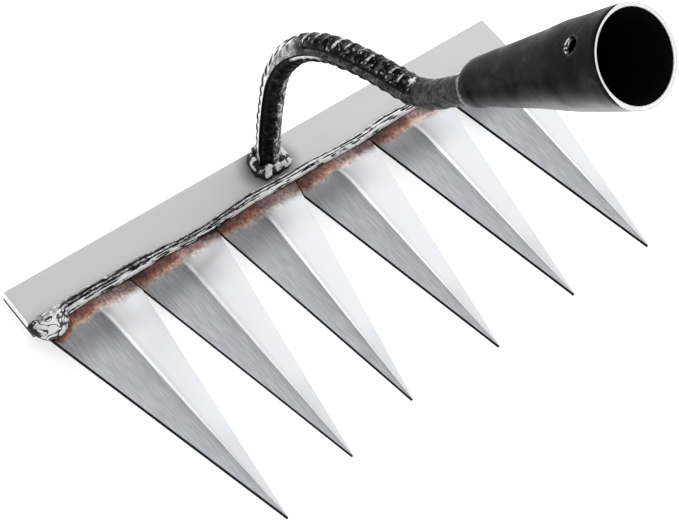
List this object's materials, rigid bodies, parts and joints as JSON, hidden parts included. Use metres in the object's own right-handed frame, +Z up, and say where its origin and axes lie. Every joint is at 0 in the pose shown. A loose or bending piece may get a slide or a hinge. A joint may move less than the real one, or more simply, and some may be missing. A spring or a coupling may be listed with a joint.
{
  "type": "weeding rake head",
  "caption": "Weeding rake head: creased, pointed steel teeth welded along a flat bar, with a bent ribbed-rod neck and a tapered socket for a wooden handle.",
  "frame": {"origin": "middle of the head's bounding box at its base, which is the underside of the flat bar", "axes": "+X along the flat bar, -Y the way the teeth point, +Z up from the bar's top face towards the socket"},
  "size_m": [0.2516, 0.1452, 0.217],
  "materials": {
    "bar_steel": "plain rolled flat bar",
    "tooth_steel": "brushed lengthwise, with heat tint by the weld",
    "weld_metal": "bright weld metal, uneven",
    "black_rod": "glossy black over ribs",
    "black_socket": "semi-gloss black, bare metal at the mouth's rim"
  },
  "bodies": {
    "root": {"back_bar": "bar_steel", "tooth_1": "tooth_steel", "tooth_2": "tooth_steel", "tooth_3": "tooth_steel", "tooth_4": "tooth_steel", "tooth_5": "tooth_steel", "tooth_6": "tooth_steel", "root_weld": "weld_metal", "underside_weld": "weld_metal", "neck_rod": "black_rod", "foot_weld": "weld_metal", "handle_socket": "black_socket", "socket_weld": "black_rod"}
  },
  "joints": []
}
